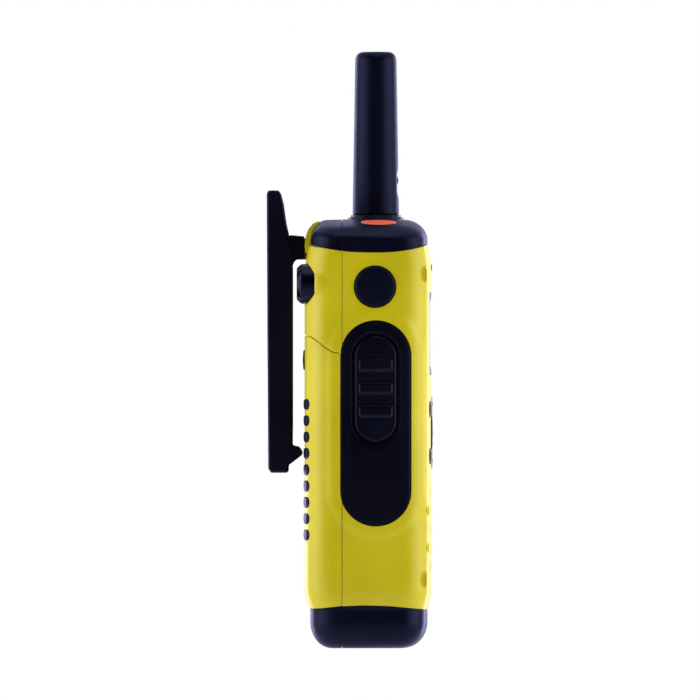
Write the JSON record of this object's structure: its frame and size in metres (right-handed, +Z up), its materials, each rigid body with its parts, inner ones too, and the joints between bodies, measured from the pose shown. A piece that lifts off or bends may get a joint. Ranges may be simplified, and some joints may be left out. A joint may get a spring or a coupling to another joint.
{
  "type": "two way radio",
  "caption": "Rugged handheld two way radio with stub antenna, side talk button, bumpers, keypad, ribbed battery door with quarter-turn locks and spring belt clip.",
  "frame": {"origin": "centre of the flat underside, on the plane the radio stands on", "axes": "+Z up along the antenna, -Y towards the display, -X towards the talk button, +Y towards the belt clip"},
  "size_m": [0.0616, 0.053, 0.19],
  "materials": {
    "yellow_casing": "satin moulded",
    "bumper_rubber": "soft satin",
    "black_plastic": "satin",
    "alert_orange": "satin",
    "key_grey": "satin",
    "clear_window": "polished",
    "display_grey": "semi gloss",
    "board_green": "solder mask",
    "bright_steel": "bright",
    "brass": "bright",
    "cell_wrap": "printed wrap",
    "speaker_cloth": "fine weave",
    "seal_rubber": "matte"
  },
  "bodies": {
    "radio_body": {"front_housing": "yellow_casing", "rear_housing": "yellow_casing", "top_bumper_front": "bumper_rubber", "top_bumper_rear": "bumper_rubber", "bottom_bumper_front": "bumper_rubber", "antenna_sheath": "bumper_rubber", "antenna_collar": "black_plastic", "ptt_surround": "black_plastic", "right_grip_pad": "black_plastic", "display_bezel": "black_plastic", "battery_tray": "black_plastic", "port_socket": "black_plastic", "ptt_switch": "black_plastic", "side_switch": "black_plastic", "alert_switch": "black_plastic", "display_lens": "clear_window", "flashlight_lens": "clear_window", "status_led": "clear_window", "lcd_panel": "display_grey", "main_board": "board_green", "flashlight_board": "board_green", "rf_shield": "bright_steel", "speaker": "bright_steel", "microphone": "bright_steel", "case_screw_1": "bright_steel", "case_screw_2": "bright_steel", "case_screw_3": "bright_steel", "case_screw_4": "bright_steel", "antenna_base": "brass", "antenna_element": "brass", "contact_plate_lower": "brass", "contact_plate_upper": "brass", "battery_cell_1": "cell_wrap", "battery_cell_2": "cell_wrap", "battery_cell_3": "cell_wrap", "speaker_cloth": "speaker_cloth", "compartment_seal": "seal_rubber", "keypad_mat": "seal_rubber"},
    "talk_button": {"ptt_button": "black_plastic"},
    "side_button": {"side_button": "bumper_rubber"},
    "alert_button": {"alert_button": "alert_orange"},
    "nav_rocker": {"nav_ring": "black_plastic"},
    "select_button": {"select_button": "key_grey"},
    "menu_key": {"menu_key": "key_grey"},
    "call_key": {"call_key": "key_grey"},
    "power_key": {"power_key": "key_grey"},
    "scan_key": {"scan_key": "key_grey"},
    "port_cover": {"port_cover": "bumper_rubber"},
    "lock_left": {"lock_knob_left": "black_plastic", "lock_cam_left": "bright_steel"},
    "lock_right": {"lock_knob_right": "black_plastic", "lock_cam_right": "bright_steel"},
    "battery_door": {"battery_door": "yellow_casing", "door_grip_insert": "bumper_rubber", "door_thumb_pad": "bumper_rubber", "bottom_bumper_rear": "bumper_rubber"},
    "clip_bracket": {"clip_bracket": "black_plastic", "clip_pin": "bright_steel", "clip_spring": "bright_steel"},
    "clip_lever": {"clip_lever": "black_plastic"}
  },
  "joints": [
    {"name": "talk_press", "type": "slide", "parent": "radio_body", "child": "talk_button", "axis": [1, 0, 0], "range_m": [0, 0.001], "stiffness_N_per_m": 1500, "springref_m": -0.0003},
    {"name": "side_press", "type": "slide", "parent": "radio_body", "child": "side_button", "axis": [1, 0, 0], "range_m": [0, 0.0008], "stiffness_N_per_m": 1200, "springref_m": -0.0003},
    {"name": "alert_press", "type": "slide", "parent": "radio_body", "child": "alert_button", "axis": [0, 0, -1], "range_m": [0, 0.0008], "stiffness_N_per_m": 1200, "springref_m": -0.0003},
    {"name": "nav_rock", "type": "hinge", "parent": "radio_body", "child": "nav_rocker", "pos_m": [0, -0.0172, 0.0685], "axis": [1, 0, 0], "range_deg": [-2.5, 2.5], "stiffness_Nm_per_rad": 0.5},
    {"name": "select_press", "type": "slide", "parent": "radio_body", "child": "select_button", "axis": [0, 1, 0], "range_m": [0, 0.0006], "stiffness_N_per_m": 1200, "springref_m": -0.0003},
    {"name": "menu_press", "type": "slide", "parent": "radio_body", "child": "menu_key", "axis": [0, 1, 0], "range_m": [0, 0.0006], "stiffness_N_per_m": 1200, "springref_m": -0.0003},
    {"name": "call_press", "type": "slide", "parent": "radio_body", "child": "call_key", "axis": [0, 1, 0], "range_m": [0, 0.0006], "stiffness_N_per_m": 1200, "springref_m": -0.0003},
    {"name": "power_press", "type": "slide", "parent": "radio_body", "child": "power_key", "axis": [0, 1, 0], "range_m": [0, 0.0006], "stiffness_N_per_m": 1200, "springref_m": -0.0003},
    {"name": "scan_press", "type": "slide", "parent": "radio_body", "child": "scan_key", "axis": [0, 1, 0], "range_m": [0, 0.0006], "stiffness_N_per_m": 1200, "springref_m": -0.0003},
    {"name": "port_cover_swing", "type": "hinge", "parent": "radio_body", "child": "port_cover", "pos_m": [0.03015, -0.0081, 0.1128], "axis": [0, 0, -1], "range_deg": [0, 110]},
    {"name": "lock_left_turn", "type": "hinge", "parent": "radio_body", "child": "lock_left", "pos_m": [-0.0215, 0.0155, 0.1158], "axis": [0, 1, 0], "range_deg": [0, 90]},
    {"name": "lock_right_turn", "type": "hinge", "parent": "radio_body", "child": "lock_right", "pos_m": [0.0215, 0.0155, 0.1158], "axis": [0, -1, 0], "range_deg": [0, 90]},
    {"name": "door_slide", "type": "slide", "parent": "radio_body", "child": "battery_door", "axis": [0, 0, -1], "range_m": [0, 0.1]},
    {"name": "clip_release", "type": "slide", "parent": "radio_body", "child": "clip_bracket", "axis": [0, 0, 1], "range_m": [0, 0.009]},
    {"name": "clip_open", "type": "hinge", "parent": "clip_bracket", "child": "clip_lever", "pos_m": [0, 0.0266, 0.127], "axis": [1, 0, 0], "range_deg": [0, 13], "stiffness_Nm_per_rad": 0.6, "springref_deg": -17.19}
  ]
}
